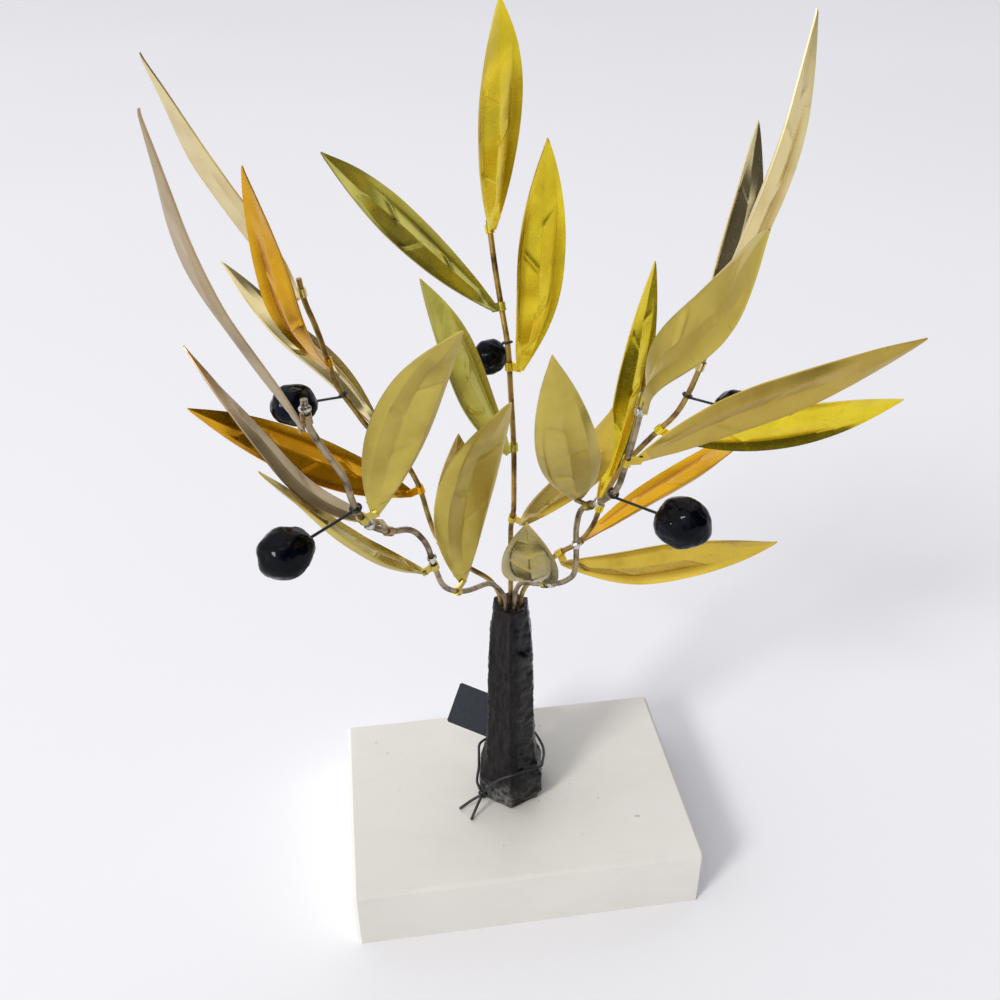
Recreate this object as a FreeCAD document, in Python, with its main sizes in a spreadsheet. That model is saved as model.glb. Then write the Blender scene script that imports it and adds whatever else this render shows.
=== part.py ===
import FreeCAD, Part
import math
import os

import Sketcher

# A brass olive tree on a marble slab: a rough dark trunk, five bent brass wires, stamped brass leaves
# wrapped onto them by their necks, black olives on thin wire stalks, and a card tag tied to the foot.
# Millimetres. Origin: the centre of the slab's underside. +X is along the slab's front edge, +Z is up.

Vector = FreeCAD.Vector
Rotation = FreeCAD.Rotation
Placement = FreeCAD.Placement

UP = Vector(0, 0, 1)
PARTS_FOLDER = "parts"

# ------------------------------------------------------------------------------------------ sizes

SIZES = {
    # slab
    "slab_width": 150.0,
    "slab_depth": 100.0,
    "slab_height": 30.0,
    "slab_arris": 1.5,
    # trunk
    "trunk_x": -1.5,
    "trunk_y": 1.0,
    "trunk_height": 106.0,
    "trunk_radius": 11.0,
    # the stud that holds the trunk down, its washer and its nut
    "stud_diameter": 6.0,
    "stud_hole": 6.1,
    "stud_in_trunk": 22.0,
    "counterbore_diameter": 24.0,
    "counterbore_depth": 12.0,
    "washer_diameter": 18.0,
    "washer_thickness": 1.6,
    "nut_across_corners": 11.5,
    "nut_height": 5.0,
    # branch wires
    "wire_diameter": 2.0,
    "wire_hole": 2.1,
    "wire_hole_depth": 13.0,
    # leaves
    "sheet_thickness": 0.5,
    "band_bore": 2.16,
    "band_thickness": 0.5,
    "band_width": 3.0,
    "neck_reach": 4.5,
    "neck_width": 2.6,
    "neck_thickness": 0.7,
    "crease_angle": 14.0,
    "outline_cut_depth": 60.0,
    # olives and their stalks
    "stalk_diameter": 0.9,
    "stalk_hole": 0.96,
    "stalk_in_olive": 4.0,
    # silver solder
    "solder_bore": 2.12,
    # tag and its cord
    "tag_length": 36.0,
    "tag_width": 21.5,
    "tag_thickness": 0.6,
    "tag_hole": 6.0,
    "tag_hole_inset": 5.5,
    "tag_corner": 0.8,
    "cord_diameter": 1.2,
}

doc = FreeCAD.newDocument("olive_tree")
sheet = doc.addObject("Spreadsheet::Sheet", "sizes")
for row, (alias, value) in enumerate(SIZES.items(), start=1):
    sheet.set("A%d" % row, alias)
    sheet.set("B%d" % row, str(value))
    sheet.setAlias("B%d" % row, alias)
doc.recompute()


def size(alias):
    return float(sheet.get(alias))


TRUNK_TOP = size("slab_height") + size("trunk_height")
TRUNK_AXIS = Vector(size("trunk_x"), size("trunk_y"), 0)

# ---------------------------------------------------------------------------------- design tables

# Each branch is bent flat, in an upright plane through the trunk's axis: the plane's heading in
# degrees from +X, then the bends as (reach from the axis, rise above the trunk's top).
BRANCHES = {
    "centre": (105, [(0, -12), (0, 38), (-3, 46), (-3, 75), (0, 95), (2, 112), (8, 124), (14, 138),
                     (17, 147), (19, 152)]),
    "left_front": (232, [(4, -12), (4, 5), (9, 13), (16, 21), (33, 28), (42, 34), (49, 41), (54, 54),
                         (57, 64), (65, 75), (78, 81), (88, 90), (93, 99), (96, 111), (104, 124),
                         (109, 134), (109, 141)]),
    "left_back": (172, [(4, -12), (4, 4), (8, 12), (20, 20), (29, 32), (32, 44), (34, 55), (39, 67),
                        (52, 81), (57, 90), (62, 98), (64, 108), (67, 121), (70, 130), (71, 138)]),
    "right_front": (290, [(3, -12), (3, 7), (8, 16), (25, 26), (39, 36), (47, 45), (47, 55), (46, 63),
                          (48, 73), (62, 84), (69, 92), (72, 102), (76, 116), (79, 131)]),
    "right_back": (344, [(4, -12), (4, 5.5), (9.5, 15), (18, 26), (27, 32), (32, 41), (34, 50), (40, 66),
                         (52, 82), (59, 90), (63, 100), (66, 111), (70, 124), (74, 138)]),
}

# Each leaf: its branch, how far along the wire its band sits, the heading and rise of its blade, the
# roll about its own midrib, the blade's length and width, how far it bows towards its upper face at
# a third and at two thirds of its length and at its tip, and where along it the blade is widest.
LEAVES = {
    "centre_leaf_1": ("centre", 165, 265, 63, -140, 86, 17.5, (0, 0.5, 1), 0.58),
    "centre_leaf_2": ("centre", 138.5, 200, 45, -49, 83, 16.5, (-1, 0, 3), 0.56),
    "centre_leaf_3": ("centre", 117.5, 347, 84, 129, 79, 19, (4, 1, 0), 0.51),
    "centre_leaf_4": ("centre", 86.5, 215, 63, -75, 85, 17, (-3, 0.5, 2.5), 0.48),
    "centre_leaf_5": ("centre", 54.5, 304, 56, 160, 76, 20, (1, 4, -2.5), 0.53),
    "left_front_leaf_1": ("left_front", 191, 244, 59, -40, 101, 16.5, (-2, -3, 6), 0.36),
    "left_front_leaf_2": ("left_front", 144, 306, 63, -20, 83, 19, (2, 2.5, -6), 0.43),
    "left_front_leaf_3": ("left_front", 127, 172, 43, -162, 78, 21.5, (5, -2, -8), 0.40),
    "left_front_leaf_4": ("left_front", 88, 215, 45, -11, 85, 17.5, (-3, -0.5, 5.5), 0.45),
    "left_front_leaf_5": ("left_front", 63, 288, 73, 12, 94, 25.5, (3.5, 1.5, -8), 0.48),
    "left_back_leaf_1": ("left_back", 165, 226, 59, -13, 94, 19.5, (-0.5, -1, 4), 0.36),
    "left_back_leaf_2": ("left_back", 138.5, 240, 64, 163, 85, 17.5, (5, 0, -3), 0.40),
    "left_back_leaf_3": ("left_back", 104, 152, 45, 7, 82, 18, (2.5, -2.5, 0.5), 0.49),
    "left_back_leaf_4": ("left_back", 77, 188, 31, -35, 88, 19, (-3, -0.5, 4.5), 0.46),
    "left_back_leaf_5": ("left_back", 50.5, 270, 60, -157, 86, 16, (1.5, 0, 2), 0.46),
    "right_front_leaf_1": ("right_front", 170, 270, 54, -102, 85, 20.5, (-6, 5, 8), 0.60),
    "right_front_leaf_2": ("right_front", 146, 357, 22, -65, 90, 20.5, (0.5, -1, 2.5), 0.42),
    "right_front_leaf_3": ("right_front", 112, 250, 51, 12, 88, 18.5, (-3, -1, 8.5), 0.45),
    "right_front_leaf_4": ("right_front", 50.5, 257, 47, 178, 86, 19, (3, 1, -1.5), 0.46),
    "right_back_leaf_1": ("right_back", 150, 352, 75, 136, 103, 16.5, (2.5, 3, -4.5), 0.49),
    "right_back_leaf_2": ("right_back", 140, 56, 54, 64, 86, 18, (1, 2, -1.5), 0.45),
    "right_back_leaf_3": ("right_back", 71, 52, 64, 70, 91, 18, (2, 0.5, 0), 0.47),
    "right_back_leaf_4": ("right_back", 111.5, 356, 6, 100, 86, 19, (2, 2, -2.5), 0.45),
    "right_back_leaf_5": ("right_back", 52.5, 15, 22, -15, 87, 18, (1, 0, 2.5), 0.54),
    "right_back_leaf_6": ("right_back", 43.5, 326, 23, 111, 85, 20.5, (4, 1, 0), 0.48),
}

# Each olive: its branch, how far along the wire its stalk hooks on, the heading and rise of the
# stalk, the stalk's length to the olive's middle, and the olive's width and length.
OLIVES = {
    "centre": ("centre", 126, 137, -43, 11, 12, 13),
    "left_front": ("left_front", 150, 223, -2, 27, 15, 16.5),
    "left_back": ("left_back", 125, 231, 16, 26.5, 14.5, 17),
    "right_front": ("right_front", 130, 290, 15, 36, 15.5, 16.5),
    "right_back": ("right_back", 128, 304, 6, 21, 14, 15.5),
}

# Beads of silver solder round the wires: the branch, how far along it, and the bead's length.
SOLDER = {
    "left_front_solder_1": ("left_front", 92, 3.6),
    "left_front_solder_2": ("left_front", 139, 4),
    "left_front_solder_3": ("left_front", 194, 3.0),
    "right_front_solder_1": ("right_front", 56, 6.0),
    "right_front_solder_2": ("right_front", 90, 3.6),
    "right_front_solder_3": ("right_front", 119, 4.0),
    "right_front_solder_4": ("right_front", 166, 4.0),
}

# The trunk's rough six-sided sections: height above the slab, and radius as a share of the shaft's.
TRUNK_SECTIONS = [(0, 1.26), (5, 1.48), (15, 1.42), (23, 1.18), (38, 1.06), (70, 1.0), (92, 0.9),
                  (106, 0.72)]
TRUNK_EDGE_HEADING = 261

# The tag hangs behind the trunk. Its hole's heading from the trunk's axis, distance and height above
# the slab, then the heading and rise of its long side and the roll about it.
TAG_HOLE = (76.4, 20.1, 17.6)
TAG_TURN = (156.5, 15, 17)

# The cord, from the knot round the front of the foot to the tag: heading from the trunk's axis,
# distance from it, and height above the slab.
CORD_TO_TAG = [(218, 18.2, 9), (228, 17.2, 14.5), (243, 15.6, 19.6), (261, 15.2, 22.4), (282, 13.9, 23),
               (302, 14.1, 22.2), (321, 15.6, 20.8), (342, 14.6, 19), (0, 15.2, 17.6), (21, 16.8, 16.6),
               (42, 19.4, 16.2)]
# Past the tag's end, through its hole and out on the trunk's side: along the tag from its hole
# towards its far end, and out from its face towards the trunk.
CORD_THROUGH_TAG = [(-8.5, -2.6), (-5, -3.2), (3.5, 2.24)]
# Back round the other side of the foot to the knot.
CORD_TO_KNOT = [(112, 15.6, 18.6), (141, 16.2, 18.2), (166, 14.4, 17.6), (186, 14.8, 15.6),
                (203, 17.6, 12.2), (217.5, 18.2, 8.6)]
KNOT = (218, 18.2, 8.6)
KNOT_RADIUS = 1.9
TAIL_ENDS = [(204, 26.6, 0.9), (221, 26.8, 0.9)]
TAIL_END_RADIUS = 0.85

# ---------------------------------------------------------------------------------------- helpers


def new_body(name):
    body = doc.addObject("PartDesign::Body", name)
    body.Label = name
    return body


def new_sketch(body, role, offset=Placement()):
    """A sketch on one of the body's own origin planes."""
    sketch = body.newObject("Sketcher::SketchObject", body.Name + "_sketch")
    plane = next(item for item in body.Origin.OriginFeatures if item.Role == role)
    sketch.AttachmentSupport = (plane, [""])
    sketch.MapMode = "FlatFace"
    sketch.AttachmentOffset = offset
    return sketch


def raised(height):
    return Placement(Vector(0, 0, height), Rotation())


def bind(sketch, constraint, expression):
    """Adds a dimension and ties it to the sheet."""
    index = sketch.addConstraint(constraint)
    sketch.setExpression("Constraints[%d]" % index, expression)
    return index


def add_circle(sketch, centre, diameter, expression):
    index = sketch.addGeometry(Part.Circle(centre, UP, diameter / 2), False)
    if centre.Length == 0:
        sketch.addConstraint(Sketcher.Constraint("Coincident", index, 3, -1, 1))
    else:
        sketch.addConstraint(Sketcher.Constraint("DistanceX", index, 3, centre.x))
        sketch.addConstraint(Sketcher.Constraint("DistanceY", index, 3, centre.y))
    bind(sketch, Sketcher.Constraint("Diameter", index, diameter), expression)
    return index


def add_loop(sketch, corners):
    """Closed straight sides through the corners, joined end to end."""
    count = len(corners)
    sides = [Part.LineSegment(corners[i], corners[(i + 1) % count]) for i in range(count)]
    first = sketch.addGeometry(sides, False)[0]
    for i in range(count):
        following = first + (i + 1) % count
        sketch.addConstraint(Sketcher.Constraint("Coincident", first + i, 2, following, 1))
    return first


def add_rectangle(sketch, width, depth):
    """A rectangle centred on the sketch's origin, from two cells of the sheet."""
    x = size(width) / 2
    y = size(depth) / 2
    first = add_loop(sketch, [Vector(-x, -y, 0), Vector(x, -y, 0), Vector(x, y, 0), Vector(-x, y, 0)])
    for side in (0, 2):
        sketch.addConstraint(Sketcher.Constraint("Horizontal", first + side))
    for side in (1, 3):
        sketch.addConstraint(Sketcher.Constraint("Vertical", first + side))
    sketch.addConstraint(Sketcher.Constraint("Symmetric", first, 1, first + 2, 1, -1, 1))
    bind(sketch, Sketcher.Constraint("DistanceX", first, 1, first, 2, 2 * x), "sizes." + width)
    bind(sketch, Sketcher.Constraint("DistanceY", first + 1, 1, first + 1, 2, 2 * y), "sizes." + depth)
    return first


def pad(body, sketch, length, both_ways=False, backwards=False):
    feature = body.newObject("PartDesign::Pad", body.Name + "_pad")
    feature.Profile = sketch
    feature.setExpression("Length", length)
    feature.Midplane = both_ways
    feature.Reversed = backwards
    body.Tip = feature
    return feature


def pocket(body, sketch, length, both_ways=False, backwards=False):
    feature = body.newObject("PartDesign::Pocket", body.Name + "_pocket")
    feature.Profile = sketch
    feature.setExpression("Length", length)
    feature.Midplane = both_ways
    feature.Reversed = backwards
    body.Tip = feature
    return feature


def pipe(body, profile, spine):
    feature = body.newObject("PartDesign::AdditivePipe", body.Name + "_pipe")
    feature.Profile = profile
    feature.Spine = spine
    body.Tip = feature
    return feature


ARC_SHARE = 0.45


def bent_route(points):
    """Straight runs through the points, joined by tangent arcs as large as the runs allow."""
    curves = []
    start = points[0]
    for before, corner, after in zip(points, points[1:], points[2:]):
        back = before - corner
        ahead = after - corner
        tangent = ARC_SHARE * min(back.Length, ahead.Length)
        back.normalize()
        ahead.normalize()
        enter = corner + back * tangent
        leave = corner + ahead * tangent
        half_turn = (math.pi - back.getAngle(ahead)) / 2
        radius = tangent / math.tan(half_turn)
        middle = (back + ahead).normalize()
        crown = corner + middle * (radius / math.cos(half_turn) - radius)
        curves.append(Part.LineSegment(start, enter))
        curves.append(Part.Arc(enter, crown, leave))
        start = leave
    curves.append(Part.LineSegment(start, points[-1]))
    return curves


def along(curves, distance):
    """The point and direction at a distance along a route."""
    left = distance
    for curve in curves:
        length = curve.length()
        if left <= length:
            break
        left -= length
    parameter = curve.parameterAtDistance(min(left, length), curve.FirstParameter)
    return curve.value(parameter), curve.tangent(parameter)[0]


def direction(heading, rise):
    return Rotation(heading, -rise, 0).multVec(Vector(1, 0, 0))


def on_trunk(heading, distance, height):
    """A place given by its heading and distance from the trunk's axis and its height on the slab."""
    base = TRUNK_AXIS + UP * (size("slab_height") + height)
    return base + direction(heading, 0) * distance


def facing(x_axis, z_axis, origin):
    """A placement whose X and Z run along the two given directions."""
    y_axis = z_axis.cross(x_axis)
    return Placement(origin, Rotation(x_axis, y_axis, z_axis, "ZXY"))

# ------------------------------------------------------------------------------- slab and its stud


def make_slab():
    body = new_body("marble_base")
    sketch = new_sketch(body, "XY_Plane")
    add_rectangle(sketch, "slab_width", "slab_depth")
    block = pad(body, sketch, "sizes.slab_height")
    doc.recompute()
    upright = []
    top = []
    for number, edge in enumerate(block.Shape.Edges, start=1):
        low, high = edge.BoundBox.ZMin, edge.BoundBox.ZMax
        if high - low > 1:
            upright.append("Edge%d" % number)
        elif low > 1:
            top.append("Edge%d" % number)
    arris = body.newObject("PartDesign::Chamfer", "marble_base_arris")
    arris.Base = (block, top + upright)
    arris.setExpression("Size", "sizes.slab_arris")
    body.Tip = arris
    well = new_sketch(body, "XY_Plane")
    add_circle(well, TRUNK_AXIS, size("counterbore_diameter"), "sizes.counterbore_diameter")
    pocket(body, well, "sizes.counterbore_depth", backwards=True)
    bore = new_sketch(body, "XY_Plane")
    add_circle(bore, TRUNK_AXIS, size("stud_hole"), "sizes.stud_hole")
    pocket(body, bore, "sizes.slab_height", backwards=True)
    return body


def make_trunk():
    body = new_body("trunk")
    body.Placement = Placement(TRUNK_AXIS + UP * size("slab_height"), Rotation(TRUNK_EDGE_HEADING, 0, 0))
    sections = []
    for height, share in TRUNK_SECTIONS:
        sketch = new_sketch(body, "XY_Plane", raised(height))
        radius = size("trunk_radius") * share
        corners = [direction(60 * i, 0) * radius for i in range(6)]
        first = add_loop(sketch, corners)
        rim = sketch.addGeometry(Part.Circle(Vector(), UP, radius), True)
        sketch.addConstraint(Sketcher.Constraint("Coincident", rim, 3, -1, 1))
        for side in range(6):
            sketch.addConstraint(Sketcher.Constraint("PointOnObject", first + side, 1, rim))
        for side in range(1, 6):
            sketch.addConstraint(Sketcher.Constraint("Equal", first, first + side))
        sketch.addConstraint(Sketcher.Constraint("PointOnObject", first, 1, -1))
        bind(sketch, Sketcher.Constraint("Radius", rim, radius), "sizes.trunk_radius * %g" % share)
        sections.append(sketch)
    loft = body.newObject("PartDesign::AdditiveLoft", "trunk_loft")
    loft.Profile = sections[0]
    loft.Sections = sections[1:]
    loft.Ruled = True
    body.Tip = loft
    holes = new_sketch(body, "XY_Plane", raised(size("trunk_height")))
    for heading, bends in BRANCHES.values():
        centre = direction(heading - TRUNK_EDGE_HEADING, 0) * bends[0][0]
        add_circle(holes, centre, size("wire_hole"), "sizes.wire_hole")
    pocket(body, holes, "sizes.wire_hole_depth")
    stud_hole = new_sketch(body, "XY_Plane")
    add_circle(stud_hole, Vector(), size("stud_hole"), "sizes.stud_hole")
    pocket(body, stud_hole, "sizes.stud_in_trunk + 1", backwards=True)
    return body


def make_stud():
    """The threaded stud, standing in the counterbore and screwed up into the trunk."""
    bottom = size("counterbore_depth") - size("washer_thickness") - size("nut_height") - 1
    body = new_body("trunk_stud")
    body.Placement = Placement(TRUNK_AXIS + UP * bottom, Rotation())
    sketch = new_sketch(body, "XY_Plane")
    add_circle(sketch, Vector(), size("stud_diameter"), "sizes.stud_diameter")
    reach = "sizes.slab_height - sizes.counterbore_depth + sizes.washer_thickness"
    pad(body, sketch, reach + " + sizes.nut_height + sizes.stud_in_trunk + 1")
    return body


def make_washer():
    body = new_body("stud_washer")
    bottom = size("counterbore_depth") - size("washer_thickness")
    body.Placement = Placement(TRUNK_AXIS + UP * bottom, Rotation())
    sketch = new_sketch(body, "XY_Plane")
    add_circle(sketch, Vector(), size("washer_diameter"), "sizes.washer_diameter")
    add_circle(sketch, Vector(), size("stud_hole"), "sizes.stud_hole")
    pad(body, sketch, "sizes.washer_thickness")
    return body


def make_nut():
    body = new_body("stud_nut")
    bottom = size("counterbore_depth") - size("washer_thickness") - size("nut_height")
    body.Placement = Placement(TRUNK_AXIS + UP * bottom, Rotation())
    sketch = new_sketch(body, "XY_Plane")
    add_loop(sketch, [direction(60 * i, 0) * (size("nut_across_corners") / 2) for i in range(6)])
    add_circle(sketch, Vector(), size("stud_hole"), "sizes.stud_hole")
    pad(body, sketch, "sizes.nut_height")
    return body

# ---------------------------------------------------------------------------------------- branches


def branch_route(name):
    """The bends of one wire, in its own plane: X is the reach and Z the rise."""
    return [Vector(reach, rise, 0) for reach, rise in BRANCHES[name][1]]


def branch_placement(name):
    return Placement(TRUNK_AXIS + UP * TRUNK_TOP, Rotation(BRANCHES[name][0], 0, 0))


def on_branch(name, distance):
    """The middle of a wire and its direction, at a distance from its lower end."""
    point, heading = along(bent_route(branch_route(name)), distance)
    placement = branch_placement(name)
    place = placement.multVec(Vector(point.x, 0, point.y))
    return place, placement.Rotation.multVec(Vector(heading.x, 0, heading.y))


def make_branch(name):
    body = new_body(name + "_branch")
    body.Placement = branch_placement(name)
    spine = new_sketch(body, "XZ_Plane")
    spine.addGeometry(bent_route(branch_route(name)), False)
    start = branch_route(name)[0]
    profile = new_sketch(body, "XY_Plane", Placement(Vector(0, 0, start.y), Rotation()))
    add_circle(profile, Vector(start.x, 0, 0), size("wire_diameter"), "sizes.wire_diameter")
    pipe(body, profile, spine)
    return body

# ------------------------------------------------------------------------------------------ leaves

STRIP_MARGIN = 1.5
BLADE_START = 1.0


def leaf_frame(wire_point, wire_direction, blade_direction):
    """The neck leaves the wire square to it, on the blade's side; the blade starts at its end."""
    along_wire = wire_direction * wire_direction.dot(blade_direction)
    neck = (blade_direction - along_wire).normalize()
    return neck, wire_point + neck * size("neck_reach")


def add_crease_profile(sketch, half_width):
    """A thin V: flat halves that rise from the crease by the crease angle."""
    lift = half_width * math.tan(math.radians(size("crease_angle")))
    thick = size("sheet_thickness")
    points = [Vector(-half_width, lift + thick, 0), Vector(0, thick, 0), Vector(half_width, lift + thick, 0),
              Vector(half_width, lift, 0), Vector(0, 0, 0), Vector(-half_width, lift, 0)]
    add_loop(sketch, points)
    sketch.addConstraint(Sketcher.Constraint("Coincident", 4, 1, -1, 1))
    sketch.addConstraint(Sketcher.Constraint("PointOnObject", 1, 1, -2))
    sketch.addConstraint(Sketcher.Constraint("Symmetric", 0, 1, 2, 1, -2))
    sketch.addConstraint(Sketcher.Constraint("Symmetric", 5, 1, 3, 1, -2))
    sketch.addConstraint(Sketcher.Constraint("Vertical", 2))
    sketch.addConstraint(Sketcher.Constraint("DistanceX", -1, 1, 3, 1, half_width))
    bind(sketch, Sketcher.Constraint("DistanceY", -1, 1, 3, 1, lift),
         "%g mm * tan(sizes.crease_angle * 1 deg)" % half_width)
    bind(sketch, Sketcher.Constraint("DistanceY", 4, 1, 1, 1, thick), "sizes.sheet_thickness")
    bind(sketch, Sketcher.Constraint("DistanceY", 3, 1, 2, 1, thick), "sizes.sheet_thickness")


def shoulder_arc(end, shoulder, side):
    """An arc from an end of the blade to its widest place, where it runs level with the midrib."""
    run = abs(shoulder.x - end.x)
    climb = shoulder.y - end.y
    radius = (run * run + climb * climb) / (2 * climb)
    part_way = end.x + (shoulder.x - end.x) / 2
    height = shoulder.y - radius + math.sqrt(radius * radius - (run / 2) ** 2)
    return Part.Arc(Vector(end.x, side * end.y, 0), Vector(part_way, side * height, 0),
                    Vector(shoulder.x, side * shoulder.y, 0))


def add_blade_outline(sketch, length, width, widest):
    """What is cut away round the blade: a rectangle with the leaf's outline left inside it."""
    clear = width / 2 + 4 * STRIP_MARGIN
    left = -BLADE_START - 4 * STRIP_MARGIN
    right = length + 4 * STRIP_MARGIN
    add_loop(sketch, [Vector(left, -clear, 0), Vector(right, -clear, 0), Vector(right, clear, 0),
                      Vector(left, clear, 0)])
    base = Vector(-BLADE_START, size("neck_width") / 2, 0)
    shoulder = Vector(length * widest, width / 2, 0)
    tip = Vector(length, 0, 0)
    for side in (-1, 1):
        sketch.addGeometry([shoulder_arc(base, shoulder, side), shoulder_arc(tip, shoulder, side)], False)
    base_line = Part.LineSegment(Vector(base.x, -base.y, 0), base)
    sketch.addGeometry(base_line, False)


def make_leaf(name):
    branch, distance, heading, rise, roll, length, width, bows, widest = LEAVES[name]
    wire_point, wire_direction = on_branch(branch, distance)
    neck, elbow = leaf_frame(wire_point, wire_direction, direction(heading, rise))
    body = new_body(name)
    body.Placement = Placement(elbow, Rotation(heading, -rise, roll))

    start = -BLADE_START - STRIP_MARGIN
    third = length * 0.3
    start_height = bows[0] * start / third
    spine = new_sketch(body, "XZ_Plane")
    points = [(start, start_height), (third, bows[0]), (length * 0.65, bows[1]),
              (length + STRIP_MARGIN, bows[2])]
    spine.addGeometry(bent_route([Vector(x, z, 0) for x, z in points]), False)
    strip = new_sketch(body, "YZ_Plane", Placement(Vector(0, start_height, start), Rotation()))
    add_crease_profile(strip, width / 2 + STRIP_MARGIN)
    pipe(body, strip, spine)
    outline = new_sketch(body, "XY_Plane")
    add_blade_outline(outline, length, width, widest)
    pocket(body, outline, "sizes.outline_cut_depth", both_ways=True)

    to_body = body.Placement.inverse()
    band_sketch = new_sketch(body, "XY_Plane", to_body * facing(neck, wire_direction, wire_point))
    add_band_outline(band_sketch)
    pad(body, band_sketch, "sizes.band_width", both_ways=True)
    return body


def add_band_outline(sketch):
    """The band round the wire with the neck standing off it, seen along the wire."""
    inner = size("band_bore") / 2
    outer = inner + size("band_thickness")
    half = size("neck_thickness") / 2
    opening = math.asin(half / outer)
    root = outer * math.cos(opening)
    end = size("neck_reach") + half
    band = Part.ArcOfCircle(Part.Circle(Vector(), UP, outer), opening, 2 * math.pi - opening)
    sketch.addGeometry([
        band,
        Part.LineSegment(Vector(root, -half, 0), Vector(end, -half, 0)),
        Part.LineSegment(Vector(end, -half, 0), Vector(end, half, 0)),
        Part.LineSegment(Vector(end, half, 0), Vector(root, half, 0)),
    ], False)
    sketch.addConstraint(Sketcher.Constraint("Coincident", 0, 3, -1, 1))
    for one, other in ((0, 1), (1, 2), (2, 3)):
        sketch.addConstraint(Sketcher.Constraint("Coincident", one, 2, other, 1))
    sketch.addConstraint(Sketcher.Constraint("Coincident", 3, 2, 0, 1))
    sketch.addConstraint(Sketcher.Constraint("Horizontal", 1))
    sketch.addConstraint(Sketcher.Constraint("Horizontal", 3))
    sketch.addConstraint(Sketcher.Constraint("Symmetric", 1, 2, 3, 1, -1))
    bind(sketch, Sketcher.Constraint("Radius", 0, outer), "sizes.band_bore / 2 + sizes.band_thickness")
    bind(sketch, Sketcher.Constraint("DistanceY", 2, 1, 2, 2, 2 * half), "sizes.neck_thickness")
    bind(sketch, Sketcher.Constraint("DistanceX", -1, 1, 2, 1, end),
         "sizes.neck_reach + sizes.neck_thickness / 2")
    add_circle(sketch, Vector(), size("band_bore"), "sizes.band_bore")

# ------------------------------------------------------------------------------ olives and solder


def stalk_frame(name):
    """Where the stalk's hook sits on the wire, and the straight line from there to the olive."""
    branch, distance, heading, rise, length, width, olive_length = OLIVES[name]
    wire_point, wire_direction = on_branch(branch, distance)
    outward = direction(heading, rise)
    olive_centre = wire_point + outward * length
    along_wire = wire_direction * wire_direction.dot(outward)
    side = (outward - along_wire).normalize()
    ring = (size("band_bore") + size("stalk_diameter")) / 2
    start = wire_point + side * ring
    return wire_point, wire_direction, start, olive_centre


def make_stalk(name):
    wire_point, wire_direction, start, olive_centre = stalk_frame(name)
    hook = doc.addObject("Part::Torus", name + "_stalk_hook")
    hook.setExpression("Radius1", "(sizes.band_bore + sizes.stalk_diameter) / 2")
    hook.setExpression("Radius2", "sizes.stalk_diameter / 2")
    hook.Placement = Placement(wire_point, Rotation(UP, wire_direction))
    rod = doc.addObject("Part::Cylinder", name + "_stalk_rod")
    rod.setExpression("Radius", "sizes.stalk_diameter / 2")
    reach = olive_centre - start
    half_olive = OLIVES[name][6] / 2
    rod.Height = reach.Length - half_olive + size("stalk_in_olive") - 0.3
    rod.Placement = Placement(start, Rotation(UP, reach))
    stalk = doc.addObject("Part::Fuse", name + "_olive_stalk")
    stalk.Base = hook
    stalk.Tool = rod
    stalk.Label = name + "_olive_stalk"
    return stalk


def make_olive(name):
    """An egg-shaped bead with a blind hole for its stalk."""
    wire_point, wire_direction, start, olive_centre = stalk_frame(name)
    width, length = OLIVES[name][5:7]
    turn = Rotation(UP, olive_centre - start)
    bead = doc.addObject("Part::Ellipsoid", name + "_olive_bead")
    bead.Radius1 = length / 2
    bead.Radius2 = width / 2
    bead.Radius3 = width / 2
    bead.Placement = Placement(olive_centre, turn)
    drill = doc.addObject("Part::Cylinder", name + "_olive_drill")
    drill.setExpression("Radius", "sizes.stalk_hole / 2")
    drill.Height = length
    inward = size("stalk_in_olive") - length / 2
    drill.Placement = Placement(olive_centre, turn) * Placement(Vector(0, 0, inward - length), Rotation())
    olive = doc.addObject("Part::Cut", name + "_olive")
    olive.Base = bead
    olive.Tool = drill
    olive.Label = name + "_olive"
    return olive


def make_solder(name):
    """A bead that has flowed round the wire: an egg with the wire's hole along it."""
    branch, distance, length = SOLDER[name]
    wire_point, wire_direction = on_branch(branch, distance)
    turn = Rotation(UP, wire_direction)
    bead = doc.addObject("Part::Ellipsoid", name + "_bead")
    bead.Radius1 = length / 2
    bead.setExpression("Radius2", "sizes.wire_diameter / 2 + 0.7")
    bead.setExpression("Radius3", "sizes.wire_diameter / 2 + 0.7")
    bead.Placement = Placement(wire_point, turn)
    bore = doc.addObject("Part::Cylinder", name + "_bore")
    bore.setExpression("Radius", "sizes.solder_bore / 2")
    bore.Height = 2 * length
    bore.Placement = Placement(wire_point - wire_direction * length, turn)
    solder = doc.addObject("Part::Cut", name)
    solder.Base = bead
    solder.Tool = bore
    solder.Label = name
    return solder

# ------------------------------------------------------------------------------------ tag and cord


def tag_placement():
    heading, rise, roll = TAG_TURN
    return Placement(on_trunk(*TAG_HOLE), Rotation(heading, -rise, roll))


def make_tag():
    """A card with clipped corners; its hole is at the body's origin and its face stands on X and Z."""
    body = new_body("hang_tag")
    body.Placement = tag_placement()
    near = -size("tag_hole_inset")
    far = near + size("tag_length")
    half = size("tag_width") / 2
    clip = size("tag_corner")
    outline = [(near + clip, -half), (far - clip, -half), (far, clip - half), (far, half - clip),
               (far - clip, half), (near + clip, half), (near, half - clip), (near, clip - half)]
    sketch = new_sketch(body, "XZ_Plane")
    add_loop(sketch, [Vector(x, y, 0) for x, y in outline])
    add_circle(sketch, Vector(), size("tag_hole"), "sizes.tag_hole")
    pad(body, sketch, "sizes.tag_thickness", both_ways=True)
    return body


def cord_points():
    tag = tag_placement()
    to_tag = [on_trunk(*place) for place in CORD_TO_TAG]
    through = [tag.multVec(Vector(x, y, 0)) for x, y in CORD_THROUGH_TAG]
    to_knot = [on_trunk(*place) for place in CORD_TO_KNOT]
    return to_tag + through + to_knot


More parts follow.
